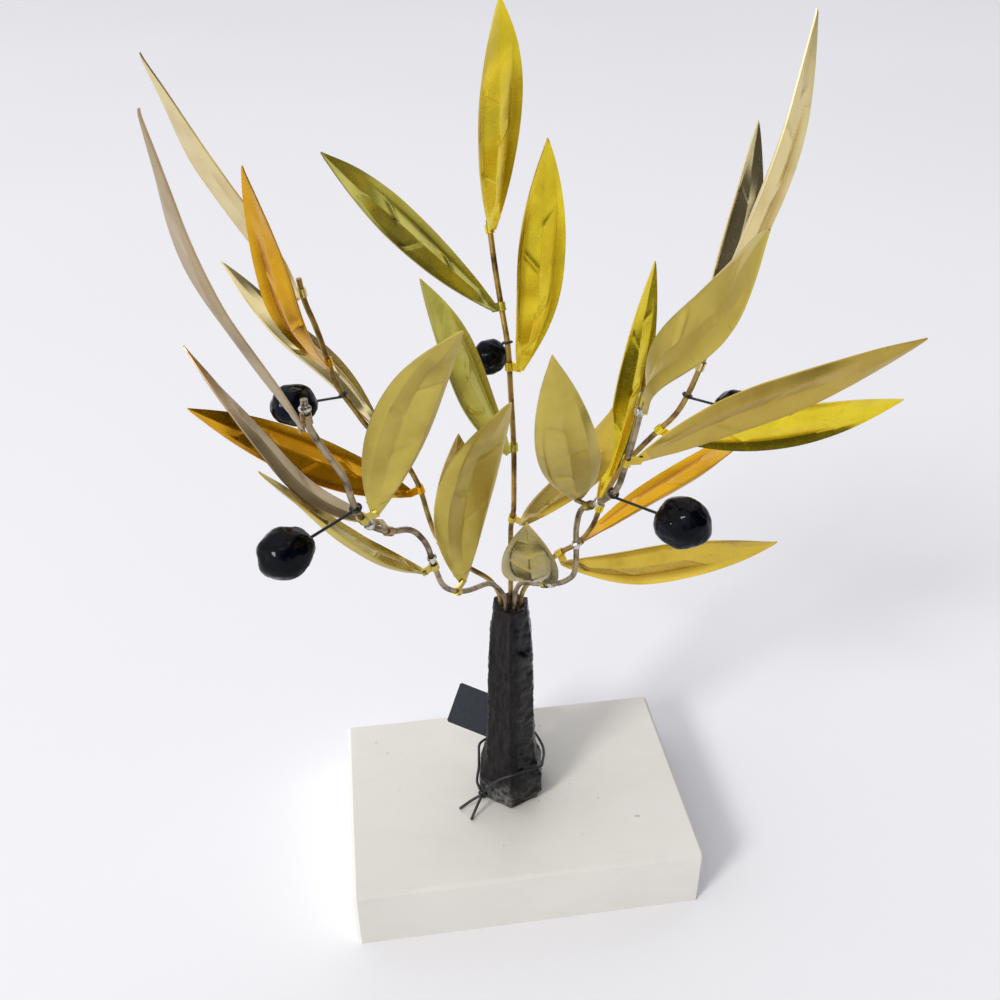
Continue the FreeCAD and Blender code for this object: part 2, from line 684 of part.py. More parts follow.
def make_cord():
    """The cord's loop with its knot and its two tails lying out on the slab, all one piece."""
    points = cord_points()
    path = doc.addObject("Part::Feature", "tag_cord_path")
    path.Shape = Part.Wire([curve.toShape() for curve in bent_route(points)])
    circle = doc.addObject("Part::Circle", "tag_cord_section")
    circle.setExpression("Radius", "sizes.cord_diameter / 2")
    circle.Placement = Placement(points[0], Rotation(UP, points[1] - points[0]))
    loop = doc.addObject("Part::Sweep", "tag_cord_loop")
    loop.Sections = [circle]
    loop.Spine = (path, ["Edge%d" % (i + 1) for i in range(len(path.Shape.Edges))])
    loop.Solid = True
    pieces = [loop]
    knot_centre = on_trunk(*KNOT)
    knot = doc.addObject("Part::Sphere", "tag_cord_knot")
    knot.Radius = KNOT_RADIUS
    knot.Placement = Placement(knot_centre, Rotation(Vector(1, 2, 1), 50))
    pieces.append(knot)
    for place in TAIL_ENDS:
        end = on_trunk(*place)
        turn = Rotation(UP, end - knot_centre)
        tail = doc.addObject("Part::Cylinder", "tag_cord_tail")
        tail.setExpression("Radius", "sizes.cord_diameter / 2")
        tail.Height = (end - knot_centre).Length
        tail.Placement = Placement(knot_centre, turn)
        tip = doc.addObject("Part::Sphere", "tag_cord_tail_end")
        tip.Radius = TAIL_END_RADIUS
        tip.Placement = Placement(end, turn)
        pieces += [tail, tip]
    cord = doc.addObject("Part::MultiFuse", "tag_cord")
    cord.Shapes = pieces
    cord.Label = "tag_cord"
    return cord


def build():
    parts = [make_slab(), make_trunk(), make_stud(), make_washer(), make_nut()]
    parts += [make_branch(name) for name in BRANCHES]
    parts += [make_leaf(name) for name in LEAVES]
    parts += [make_stalk(name) for name in OLIVES]
    parts += [make_olive(name) for name in OLIVES]
    parts += [make_solder(name) for name in SOLDER]
    parts += [make_tag(), make_cord()]
    doc.recompute()
    return parts


def check(parts):
    """Stops on any object that failed, or any part that isn't one valid solid."""
    for item in doc.Objects:
        if "Invalid" in item.State or "Error" in item.State:
            raise RuntimeError("%s failed: %s" % (item.Name, item.State))
    for part in parts:
        shape = part.Shape
        if shape.isNull() or not shape.isValid() or len(shape.Solids) != 1:
            raise RuntimeError("%s is not one valid solid" % part.Label)


def write(parts):
    os.makedirs(PARTS_FOLDER, exist_ok=True)
    for part in parts:
        part.Shape.exportStep(os.path.join(PARTS_FOLDER, part.Label + ".step"))
        print("%-24s %10.1f mm3" % (part.Label, part.Shape.Volume))


def main():
    parts = build()
    check(parts)
    write(parts)


main()
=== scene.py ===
import bmesh
import bpy
import math
import numpy as np
import random
from mathutils import Matrix, Vector, noise
from mathutils.bvhtree import BVHTree


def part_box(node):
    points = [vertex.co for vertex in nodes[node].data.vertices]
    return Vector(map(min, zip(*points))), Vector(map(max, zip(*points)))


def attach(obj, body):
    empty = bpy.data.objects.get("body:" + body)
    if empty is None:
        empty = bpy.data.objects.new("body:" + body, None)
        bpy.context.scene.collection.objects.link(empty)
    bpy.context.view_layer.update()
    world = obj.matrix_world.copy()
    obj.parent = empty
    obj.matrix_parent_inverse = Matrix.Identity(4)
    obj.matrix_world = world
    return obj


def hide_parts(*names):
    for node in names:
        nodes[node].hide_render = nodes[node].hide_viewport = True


# A brass olive tree on a marble slab. Metres; the slab's underside is at Z = 0.

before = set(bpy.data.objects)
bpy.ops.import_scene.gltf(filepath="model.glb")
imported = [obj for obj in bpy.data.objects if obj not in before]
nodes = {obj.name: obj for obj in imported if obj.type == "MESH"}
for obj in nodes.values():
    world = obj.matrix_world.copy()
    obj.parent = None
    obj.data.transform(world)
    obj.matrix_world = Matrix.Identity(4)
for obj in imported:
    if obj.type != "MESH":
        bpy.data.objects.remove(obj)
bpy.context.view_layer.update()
scene = bpy.context.scene
MM = 0.001

# ------------------------------------------------------------------------------- finish helpers


class Signal:
    """A number or colour that varies over a surface, written as sums instead of drawn as nodes."""

    def __init__(self, finish, socket):
        self.finish = finish
        self.socket = socket

    def maths(self, operation, first, second):
        return self.finish.node("ShaderNodeMath", {"operation": operation}, {0: first, 1: second})

    def __add__(self, other):
        return self.maths("ADD", self, other)

    def __sub__(self, other):
        return self.maths("SUBTRACT", self, other)

    def __rsub__(self, other):
        return self.maths("SUBTRACT", other, self)

    def __mul__(self, other):
        return self.maths("MULTIPLY", self, other)

    __radd__ = __add__
    __rmul__ = __mul__


class Finish:
    """One material, built round a single Principled shader."""

    def __init__(self, name, **constants):
        self.material = bpy.data.materials.new(name)
        self.material.use_nodes = True
        self.tree = self.material.node_tree
        self.shader = self.tree.nodes["Principled BSDF"]
        for socket, value in constants.items():
            self.shader.inputs[socket.replace("_", " ")].default_value = value

    def node(self, kind, settings=None, inputs=None, output=0):
        made = self.tree.nodes.new(kind)
        for name, value in (settings or {}).items():
            setattr(made, name, value)
        for name, value in (inputs or {}).items():
            self.feed(made.inputs[name], value)
        return Signal(self, made.outputs[output])

    def feed(self, socket, value):
        if isinstance(value, Signal):
            self.tree.links.new(value.socket, socket)
        else:
            socket.default_value = value

    def place(self):
        """Where a point of the surface is on the object at rest, in metres."""
        return self.node("ShaderNodeTexCoord", output="Object")

    def stretched(self, place, x, y, z):
        return self.node("ShaderNodeVectorMath", {"operation": "MULTIPLY"}, {0: place, 1: (x, y, z)})

    def grain(self, place, per_metre, detail=3.0, roughness=0.55):
        return self.node("ShaderNodeTexNoise", None,
                         {"Vector": place, "Scale": per_metre, "Detail": detail, "Roughness": roughness})

    def parts_of(self, vector):
        split = self.node("ShaderNodeSeparateXYZ", None, {0: vector}).socket.node
        return [Signal(self, socket) for socket in split.outputs]

    def step(self, value, low, high):
        """0 below low, 1 above high, and a smooth rise between them."""
        return self.node("ShaderNodeMapRange", {"interpolation_type": "SMOOTHSTEP"},
                         {"Value": value, "From Min": low, "From Max": high})

    def mix(self, share, first, second):
        """The first colour where share is 0 and the second where it is 1."""
        colours = {"Factor": share, 6: first, 7: second}
        return self.node("ShaderNodeMix", {"data_type": "RGBA"}, colours, output=2)

    def bump(self, height, distance, strength=1.0):
        return self.node("ShaderNodeBump", None,
                         {"Height": height, "Distance": distance, "Strength": strength})

    def done(self, **varying):
        for socket, value in varying.items():
            self.feed(self.shader.inputs[socket.replace("_", " ")], value)
        return self.material


class Room(Finish):
    """What surrounds the object, drawn with the same helpers."""

    def __init__(self, world):
        self.tree = world.node_tree
        self.shader = self.tree.nodes["Background"]


def rgb(red, green, blue):
    """A colour from its screen values of 0 to 255."""
    linear = [(value / 255 + 0.055) / 1.055 for value in (red, green, blue)]
    return tuple(value ** 2.4 for value in linear) + (1.0,)


# -------------------------------------------------------------------------------- the finishes


def marble_finish():
    """Honed white marble, a little warm, with faint grey drifts and a few dark specks."""
    stone = Finish("white_marble", IOR=1.48, Specular_IOR_Level=0.4)
    place = stone.place()
    drift = stone.grain(place, 9, 5)
    vein = stone.grain(stone.stretched(place, 1.0, 2.2, 1.4), 14, 8, 0.62)
    thread = stone.step(abs_from(vein, 0.5), 0.0, 0.045)
    body = stone.mix(stone.step(drift, 0.35, 0.7), rgb(222, 219, 211), rgb(229, 226, 219))
    veined = stone.mix((1 - thread) * 0.07, body, rgb(198, 194, 187))
    speck = stone.step(stone.grain(place, 260, 1), 0.775, 0.79)
    colour = stone.mix(speck * 0.5, veined, rgb(150, 142, 130))
    shine = stone.grain(place, 60, 2) * 0.14 + 0.34
    return stone.done(Base_Color=colour, Roughness=shine,
                      Normal=stone.bump(stone.grain(place, 700, 2), 0.00006, 0.5))


def abs_from(value, centre):
    """How far a value is from a centre."""
    return value.maths("ABSOLUTE", value - centre, 0.0)


def trunk_finish():
    """Blackened cast metal: brown-charcoal on the left faces; on the right, glossy and painted a darker
    blue-black as shade.
    """
    metal = Finish("dark_bronze", Metallic=0.05, Specular_IOR_Level=0.2, Coat_Roughness=0.15)
    place = metal.place()
    x, y, z = metal.parts_of(place)
    rough = metal.grain(place, 420, 5, 0.6)
    streak = metal.grain(metal.stretched(place, 1.0, 1.0, 0.14), 700, 4)
    wander = metal.grain(place, 90, 3) - 0.5
    # Painted shade: the right side, away from the window light, takes the darker blue-black colour.
    right = metal.step(x * 0.99 + y * 0.156 + wander * 0.006, -0.0024, 0.0004)
    charcoal = metal.mix(metal.step(streak, 0.35, 0.7), rgb(8, 5, 7), rgb(34, 27, 29))
    shaded_blue_black = metal.mix(metal.step(rough, 0.4, 0.72), rgb(1, 2, 7), rgb(8, 11, 21))
    skin = metal.mix(right, charcoal, shaded_blue_black)
    low = 1 - metal.step(z + wander * 0.012, 0.037, 0.047)
    foot = metal.mix(metal.step(rough, 0.35, 0.65), rgb(34, 38, 42), rgb(112, 112, 108))
    worn = low * (1 - metal.step(x + wander * 0.01, -0.006, 0.002))
    colour = metal.mix(worn * 0.85 + low * 0.12, skin, foot)
    shine = rough * 0.3 + (1 - right) * 0.22 + low * 0.12 + 0.14
    pits = metal.grain(place, 900, 4, 0.65) + streak * 0.6
    return metal.done(Base_Color=colour, Roughness=shine, Coat_Weight=right * 0.25,
                      Normal=metal.bump(pits, 0.0005, 0.6))


def wire_finish(name, clean, tarnish):
    """Drawn wire: long die lines, and darker patches of tarnish."""
    wire = Finish(name, Metallic=0.85)
    place = wire.place()
    patch = wire.grain(place, 130, 4, 0.6)
    fine = wire.grain(wire.stretched(place, 1, 1, 0.15), 1500, 2)
    colour = wire.mix(wire.step(patch, 0.42, 0.68), clean, tarnish)
    shine = patch * 0.25 + fine * 0.12 + 0.2
    return wire.done(Base_Color=colour, Roughness=shine, Normal=wire.bump(fine, 0.00004, 0.5))


def leaf_finish(name, bright, under, stain_and_painted_shade):
    """Stamped brass sheet. The blade map gives distance along and across in metres, and which face."""
    brass = Finish("brass_" + name, Metallic=0.96)
    blade = brass.node("ShaderNodeAttribute", {"attribute_name": "blade"}, output="Vector")
    along, across, upper = brass.parts_of(blade)
    place = brass.place()
    cross_lines = brass.grain(brass.stretched(blade, 2600, 60, 0), 1, 3, 0.6)
    cloud = brass.grain(place, 55, 3)
    smear = brass.grain(place, 260, 4, 0.62)
    face = brass.mix(upper, under, bright)
    toned = brass.mix(brass.step(cloud, 0.42, 0.75) * 0.4, face, stain_and_painted_shade)
    lined = brass.mix(brass.step(cross_lines, 0.56, 0.8) * 0.16, toned, rgb(236, 226, 170))
    spotted = brass.mix(brass.step(smear, 0.62, 0.75) * 0.22, lined, stain_and_painted_shade)
    # The stamp's high places get a painted highlight and its valleys get painted shade.
    pressed = brass.node("ShaderNodeAttribute", {"attribute_name": "pressed"}, output="Fac")
    ridge_painted_highlight = brass.mix(brass.step(pressed, 0.7, 1.7) * (upper * 0.3 + 0.1), spotted, bright)
    # Painted shade: the valleys are darkened towards the stain colour.
    valley = brass.step(0.0 - pressed, 0.25, 1.3) * (upper * 0.4 + 0.15)
    stain_with_painted_light = brass.mix(valley, ridge_painted_highlight, stain_and_painted_shade)
    shine = smear * 0.14 + cross_lines * 0.06 + (1 - upper) * 0.14 + 0.16
    height = cross_lines * 0.6 + smear * 0.5
    return brass.done(Base_Color=stain_with_painted_light, Roughness=shine, Normal=brass.bump(height, 0.00006, 0.5))


def olive_finish():
    """Glossy black glaze with a faint blue and slightly uneven skin."""
    glaze = Finish("olive_glaze", Coat_Weight=0.1, Coat_Roughness=0.03, Specular_IOR_Level=0.06)
    place = glaze.place()
    cloud = glaze.grain(place, 160, 3)
    fine = glaze.grain(place, 650, 3)
    colour = glaze.mix(glaze.step(cloud, 0.4, 0.7), rgb(1, 3, 6), rgb(5, 10, 24))
    return glaze.done(Base_Color=colour, Roughness=fine * 0.12 + 0.1,
                      Normal=glaze.bump(cloud + fine * 0.25, 0.0003, 0.35))


def solder_finish():
    """Silver solder: bright, slightly rippled, with brown flux in the hollows."""
    solder = Finish("silver_solder", Metallic=0.92)
    place = solder.place()
    ripple = solder.grain(place, 500, 3)
    colour = solder.mix(solder.step(ripple, 0.5, 0.72), rgb(206, 206, 200), rgb(128, 104, 78))
    return solder.done(Base_Color=colour, Roughness=ripple * 0.25 + 0.14,
                       Normal=solder.bump(ripple, 0.0002, 0.5))


def dull_finish(name, light, dark, per_metre, roughness, depth):
    """Plain matt stuff with a fine grain: card, waxed cord and blackened wire."""
    stuff = Finish(name)
    place = stuff.place()
    grain = stuff.grain(place, per_metre, 4, 0.6)
    colour = stuff.mix(stuff.step(grain, 0.35, 0.7), light, dark)
    return stuff.done(Base_Color=colour, Roughness=grain * 0.2 + roughness,
                      Normal=stuff.bump(grain, depth, 0.5))


def steel_finish():
    steel = Finish("plated_steel", Metallic=0.9)
    scuff = steel.grain(steel.place(), 600, 3)
    colour = steel.mix(scuff, rgb(150, 150, 148), rgb(186, 186, 182))
    return steel.done(Base_Color=colour, Roughness=scuff * 0.2 + 0.25)


# ------------------------------------------------------------------------------- piece helpers


def finished(piece, material, slot, body, *replaced):
    """Gives a piece its finish, the body it rides on and the plain solids it stands for."""
    piece.data.materials.clear()
    piece.data.materials.append(material)
    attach(piece, body)
    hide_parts(*replaced)
    return piece


def new_piece(name, points, faces):
    mesh = bpy.data.meshes.new(name)
    mesh.from_pydata([tuple(point) for point in points], [], faces)
    mesh.update()
    mesh.shade_smooth()
    piece = bpy.data.objects.new(name, mesh)
    scene.collection.objects.link(piece)
    return piece


def points_of(node):
    mesh = nodes[node].data
    points = np.zeros(len(mesh.vertices) * 3)
    mesh.vertices.foreach_get("co", points)
    return points.reshape(-1, 3)


def even_mesh(node, spacing):
    """A plain solid's surface laid out again in even squares, ready to be worked."""
    stock = bpy.data.objects.new("stock", nodes[node].data.copy())
    scene.collection.objects.link(stock)
    remesh = stock.modifiers.new("even", "REMESH")
    remesh.mode = "VOXEL"
    remesh.voxel_size = spacing
    evaluated = stock.evaluated_get(bpy.context.evaluated_depsgraph_get())
    mesh = bpy.data.meshes.new_from_object(evaluated)
    bpy.data.objects.remove(stock)
    return mesh


def worked(name, node, spacing, push):
    """A copy of a solid, each point moved out along its normal by push(point, normal)."""
    mesh = even_mesh(node, spacing)
    mesh.shade_smooth()
    spots = [(vertex.co.copy(), vertex.normal.copy()) for vertex in mesh.vertices]
    moved = [point + normal * push(point, normal) for point, normal in spots]
    mesh.vertices.foreach_set("co", [value for point in moved for value in point])
    mesh.update()
    piece = bpy.data.objects.new(name, mesh)
    scene.collection.objects.link(piece)
    return piece


def ripple(point, per_metre, shift=0.0):
    """Soft noise between about -1 and 1."""
    return noise.noise(Vector(point) * per_metre + Vector((shift, 0, 0)))


# -------------------------------------------------------------------------------------- leaves

# Each way that the brass has coloured: the leaf's face, its underside, and its stain, also used as painted
# valley shade.
LEAF_COLOURS = {
    "yellow": (rgb(240, 216, 52), rgb(206, 186, 84), rgb(146, 120, 10)),
    "olive": (rgb(196, 188, 84), rgb(166, 154, 74), rgb(92, 88, 26)),
    "straw": (rgb(236, 218, 158), rgb(226, 210, 160), rgb(180, 150, 78)),
    "amber": (rgb(222, 168, 32), rgb(200, 150, 40), rgb(146, 94, 4)),
    "honey": (rgb(214, 184, 70), rgb(196, 170, 82), rgb(146, 110, 22)),
    "khaki": (rgb(196, 178, 86), rgb(204, 184, 88), rgb(142, 122, 44)),
    "dark": (rgb(176, 152, 116), rgb(184, 164, 130), rgb(96, 74, 48)),
}
LEAF_COLOUR = {
    "centre_leaf_1": "yellow", "centre_leaf_2": "olive", "centre_leaf_3": "yellow",
    "centre_leaf_4": "olive", "centre_leaf_5": "honey",
    "left_front_leaf_1": "dark", "left_front_leaf_2": "khaki", "left_front_leaf_3": "dark",
    "left_front_leaf_4": "khaki", "left_front_leaf_5": "khaki",
    "left_back_leaf_1": "straw", "left_back_leaf_2": "amber", "left_back_leaf_3": "straw",
    "left_back_leaf_4": "amber", "left_back_leaf_5": "honey",
    "right_front_leaf_1": "khaki", "right_front_leaf_2": "honey", "right_front_leaf_3": "khaki",
    "right_front_leaf_4": "khaki",
    "right_back_leaf_1": "straw", "right_back_leaf_2": "straw", "right_back_leaf_3": "yellow",
    "right_back_leaf_4": "yellow", "right_back_leaf_5": "amber", "right_back_leaf_6": "honey",
}
# Squares along and across a blade.
STATIONS = 104
STRIPS = 34
# Where the blade begins beyond the band's end, how far it runs back under the neck, and its sheet.
BAND_REACH = 9 * MM
UNDER_NECK = 0.4 * MM
SHEET = 0.5 * MM
TIP_HALF_WIDTH = 0.15 * MM
# Slices taken of the plain solid, the one that is widest apart, and the strip that counts as its edge.
SLICES = 40
MIDDLE_SLICE = 18
LAST_SLICE = 1.2 * MM
EDGE_STRIP = 0.2 * MM
SMOOTHINGS = 2
# The stamp: the panels' slope off the midrib, where the valley lies as a share of the half width, how
# high the valley is as a share of the rim, how the rim curls, and where along the blade it fades.
RIB_SLOPE = 0.27
VALLEY = 0.70
VALLEY_FLOOR = 0.10
RIM_CURL = 1.15
STAMP_FADES = (0.0, 0.10, 0.55, 0.90)
DENT_DEPTH = 0.12 * MM
DENTS_PER_METRE = 55
LEAF_SHARP_ANGLE = 42
# A vein: where it may start, its gap from the midrib, its widths on its steep and its easy side, how
# softly it ends, and the sine of the 45 degrees at which it leaves.
VEIN_STARTS = [(0.24, 1), (0.41, -1), (0.60, 1), (0.76, -1)]
VEIN_GAP = 0.6 * MM
VEIN_STEEP = 0.4 * MM
VEIN_EASY = 1.3 * MM
VEIN_FADE = 0.7 * MM
VEIN_SLANT = 0.7071


class Blade:
    """A leaf's blade as the solid has it: its left edge, midrib and right edge at even stations."""

    def __init__(self, node):
        mesh = nodes[node].data
        points = points_of(node)
        edges = np.array([edge.vertices[:] for edge in mesh.edges])
        self.heel, self.tip = self.ends(node, points)
        reach = self.tip - self.heel
        self.length = float(np.linalg.norm(reach))
        self.forward = reach / self.length
        heights = (points - self.heel) @ self.forward
        levels = np.linspace(BAND_REACH, self.length - LAST_SLICE, SLICES)
        middle = self.slice(points, edges, heights, levels[MIDDLE_SLICE])
        spread = np.linalg.norm(middle[:, None] - middle[None], axis=2)
        one, other = np.unravel_index(spread.argmax(), spread.shape)
        self.across = (middle[one] - middle[other]) / spread.max()
        self.normal = np.cross(self.forward, self.across)
        if ((middle - middle[one]) @ self.normal).mean() > 0:
            self.normal = -self.normal
            self.across = -self.across
        rows = [self.row(self.slice(points, edges, heights, level)) for level in levels]
        rows.append([0.0] * 5)
        self.levels = np.append(levels, self.length)
        self.rows = self.smoothed(np.array(rows))

    def ends(self, node, points):
        """The band's end is the one that touches the branch; the other is the tip."""
        wire = nodes[node.rsplit("_leaf_", 1)[0] + "_branch"].data
        corners = [vertex.co for vertex in wire.vertices]
        surface = BVHTree.FromPolygons(corners, [face.vertices for face in wire.polygons])
        far = points[np.linalg.norm(points - points.mean(0), axis=1).argmax()]
        opposite = points[np.linalg.norm(points - far, axis=1).argmax()]
        return sorted((far, opposite), key=lambda end: surface.find_nearest(Vector(end))[3])

    @staticmethod
    def slice(points, edges, heights, level):
        """The points where the solid's edges cross one level."""
        low = heights[edges[:, 0]]
        high = heights[edges[:, 1]]
        crossed = (low < level) != (high < level)
        share = (level - low[crossed]) / (high[crossed] - low[crossed])
        start = points[edges[crossed, 0]]
        return start + (points[edges[crossed, 1]] - start) * share[:, None]

    def row(self, cut):
        """Left, left lift, midrib height, right and right lift of one slice, in the leaf's own axes."""
        side = (cut - self.heel) @ self.across
        lift = (cut - self.heel) @ self.normal
        left, right = side.min(), side.max()
        left_lift = lift[side < left + EDGE_STRIP].mean()
        right_lift = lift[side > right - EDGE_STRIP].mean()
        share = (side - left) / (right - left)
        dip = lift - left_lift - (right_lift - left_lift) * share
        midrib = (left_lift + right_lift + SHEET) / 2 + dip.min()
        return [left, left_lift, midrib, right, right_lift]

    @staticmethod
    def smoothed(rows):
        for _ in range(SMOOTHINGS):
            rows[1:-1] = (rows[:-2] + 2 * rows[1:-1] + rows[2:]) / 4
        return rows

    def at(self, level):
        return [float(np.interp(level, self.levels, self.rows[:, column])) for column in range(5)]

    def point(self, level, side, lift):
        return self.heel + self.forward * level + self.across * side + self.normal * lift


def vein_lines(blade, rng):
    """Short creases that leave the midrib by turns, as (along, side, length, height)."""
    hand = rng.choice((-1, 1))
    lines = []
    for share, side in VEIN_STARTS:
        start = BAND_REACH + (share + rng.uniform(-0.03, 0.03)) * (blade.length - BAND_REACH)
        lines.append((start, hand * side, rng.uniform(0.45, 0.6), rng.uniform(0.45, 0.6) * MM))
    return lines


def vein_height(level, side, half_width, veins):
    """Raised creases, steep on the heel's side and easing away towards the tip."""
    height = 0.0
    for start, hand, length, tall in veins:
        out = hand * side
        reach = length * half_width
        run = level - start
        off = (run - out) * VEIN_SLANT
        beyond = max(0.0, out - reach, VEIN_GAP - out)
        width = VEIN_STEEP if off < 0 else VEIN_EASY
        height += tall * math.exp(-(off / width) ** 2 - (beyond / VEIN_FADE) ** 2)
    return height


def rise_and_fall(share, start, full, ease, end):
    """0 at start, 1 from full to ease, and 0 again at end."""
    up = min(1.0, max(0.0, (share - start) / (full - start)))
    down = min(1.0, max(0.0, (end - share) / (end - ease)))
    return min(up, down) ** 2 * (3 - 2 * min(up, down))


def pressed_height(v, half_width, rim):
    """Across the leaf: a sharp midrib, panels that fall away to a valley, and a rim that turns up."""
    floor = VALLEY_FLOOR * rim
    if v < VALLEY:
        return floor + RIB_SLOPE * half_width * (VALLEY - v)
    return floor + (rim - floor) * ((v - VALLEY) / (1 - VALLEY)) ** RIM_CURL


def blade_surface(blade, rng):
    """The stamped blade's two faces: each point, its place in the blade map, and its press in mm."""
    veins = vein_lines(blade, rng)
    shift = rng.uniform(0, 50)
    faces = {1: [], 0: []}
    for i in range(STATIONS + 1):
        share = i / STATIONS
        level = BAND_REACH - UNDER_NECK + share * (blade.length - BAND_REACH + UNDER_NECK)
        left, left_lift, midrib, right, right_lift = blade.at(level)
        half = max((right - left) / 2, TIP_HALF_WIDTH)
        middle = (left + right) / 2
        stamped = rise_and_fall(share, *STAMP_FADES)
        for j in range(STRIPS + 1):
            v = 2 * j / STRIPS - 1
            side = v * half
            edge_lift = left_lift if v < 0 else right_lift
            rim = edge_lift - midrib
            plain = rim * abs(v)
            lift = midrib + plain + stamped * (pressed_height(abs(v), half, rim) - plain)
            dent = DENT_DEPTH * ripple((level, side, 0), DENTS_PER_METRE, shift) * stamped
            emboss = dent + stamped * vein_height(level, side, half, veins)
            for upper in (1, 0):
                offset = SHEET * (upper - 0.5)
                point = blade.point(level, middle + side, lift + emboss + offset)
                faces[upper].append((point, (level, side, upper), (lift + emboss - midrib - plain) / MM))
    return faces


def blade_quads():
    """Quads of the upper face, the underside and the cut edge between them."""
    count = (STATIONS + 1) * (STRIPS + 1)
    width = STRIPS + 1
    quads = []
    for i in range(STATIONS):
        for j in range(STRIPS):
            a = i * width + j
            quads.append((a, a + width, a + width + 1, a + 1))
            quads.append((count + a, count + a + 1, count + a + width + 1, count + a + width))
    rim = [i * width for i in range(STATIONS)]
    rim += [STATIONS * width + j for j in range(STRIPS)]
    rim += [i * width + STRIPS for i in range(STATIONS, 0, -1)]
    rim += [j for j in range(STRIPS, 0, -1)]
    for a, b in zip(rim, rim[1:] + rim[:1]):
        quads.append((b, a, count + a, count + b))
    return quads


def band_and_neck(blade, node):
    """The part of the solid that wraps the wire, cut off just past the start of the blade."""
    part = bmesh.new()
    part.from_mesh(nodes[node].data)
    bmesh.ops.remove_doubles(part, verts=part.verts, dist=0.01 * MM)
    cut = Vector(blade.point(BAND_REACH, 0, 0))
    geometry = part.verts[:] + part.edges[:] + part.faces[:]
    bmesh.ops.bisect_plane(part, geom=geometry, plane_co=cut, plane_no=Vector(blade.forward),
                           clear_outer=True)
    bmesh.ops.holes_fill(part, edges=[edge for edge in part.edges if edge.is_boundary])
    part.verts.index_update()
    points = [vertex.co.copy() for vertex in part.verts]
    faces = [[vertex.index for vertex in face.verts] for face in part.faces]
    part.free()
    return points, faces


def make_leaf(node, finishes):
    blade = Blade(node)
    rng = random.Random(node)
    surface = blade_surface(blade, rng)
    rows = surface[1] + surface[0]
    points = [row[0] for row in rows]
    places = [row[1] for row in rows]
    pressed = [row[2] for row in rows]
    quads = blade_quads()
    if np.dot(np.cross(blade.forward, blade.across), blade.normal) < 0:
        quads = [quad[::-1] for quad in quads]
    band_points, band_faces = band_and_neck(blade, node)
    first = len(points)
    points += band_points
    places += [(0.0, 0.0, 1.0)] * len(band_points)
    pressed += [0.0] * len(band_points)
    quads += [tuple(first + index for index in face) for face in band_faces]
    leaf = new_piece(node + "_sheet", points, quads)
    leaf.data.set_sharp_from_angle(angle=math.radians(LEAF_SHARP_ANGLE))
    mapped = leaf.data.attributes.new("blade", "FLOAT_VECTOR", "POINT")
    mapped.data.foreach_set("vector", [value for place in places for value in place])
    stamp = leaf.data.attributes.new("pressed", "FLOAT", "POINT")
    stamp.data.foreach_set("value", pressed)
    colour = LEAF_COLOUR[node]
    return finished(leaf, finishes[colour], "brass_sheet", "tree", node)


# ------------------------------------------------------------------- trunk, olives and solder


TRUNK_SQUARE = 0.65 * MM
OLIVE_SQUARE = 0.4 * MM
SOLDER_SQUARE = 0.22 * MM
LUMP_X = 0.004
LUMP_Z = 0.113
LUMP_REACH = 0.0035
CHIPPED_FOOT = 0.02
SLAB_TOP = 30 * MM


def trunk_push(point, normal):
    """Rough casting: flakes, pits, the lumps high on the right front, and a chipped foot."""
    coarse = ripple(point, 170) * 0.45 + ripple(point, 420, 7) * 0.3 + ripple(point, 950, 3) * 0.16
    flake = abs(ripple((point[0], point[1], point[2] * 0.5), 260, 11)) * 0.6
    above = (point[2] - LUMP_Z) / LUMP_REACH
    beside = (point[0] - LUMP_X) / LUMP_REACH
    lump = 1.7 * math.exp(-above ** 2 - beside ** 2)
    facing_front = max(0.0, -normal[1])
    pitted = max(0.0, ripple(point, 300, 21)) * 1.3 if point[0] > -0.001 else 0.0
    chipped = max(0.0, 1 - (point[2] - SLAB_TOP) / CHIPPED_FOOT) * ripple(point, 330, 5) * 0.7
    flat = 0.15 if point[2] < SLAB_TOP + 0.6 * MM else 1.0
    return (coarse - flake + lump * facing_front - pitted * facing_front + chipped) * flat * MM


def olive_push(point, centre, shift):
    """Blunt, uneven sides, like a fruit that has begun to wrinkle."""
    out = (Vector(point) - centre).normalized()
    return (ripple(out, 1.6, shift) * 0.75 + ripple(out, 4.5, shift) * 0.16) * MM


def solder_push(point, normal):
    """The wrinkled skin of solder that has run and set."""
    return (ripple(point, 420) * 0.5 + ripple(point, 1100, 5) * 0.16 - 0.05) * MM


def make_trunk():
    trunk = worked("trunk_casting", "trunk", TRUNK_SQUARE, trunk_push)
    return finished(trunk, trunk_finish(), "dark_bronze", "tree", "trunk")


def make_olive(node, material):
    low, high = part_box(node)
    centre = (low + high) / 2
    shift = random.Random(node).uniform(0, 90)
    olive = worked(node + "_bead", node, OLIVE_SQUARE,
                   lambda point, normal: olive_push(point, centre, shift))
    return finished(olive, material, "olive_glaze", "tree", node)


def make_solder(node, material):
    bead = worked(node + "_bead", node, SOLDER_SQUARE, solder_push)
    return finished(bead, material, "silver_solder", "tree", node)


# ---------------------------------------------------------------------------- cord and its knot

TRUNK_AXIS = Vector((-1.5, 1.0, 0)) * MM
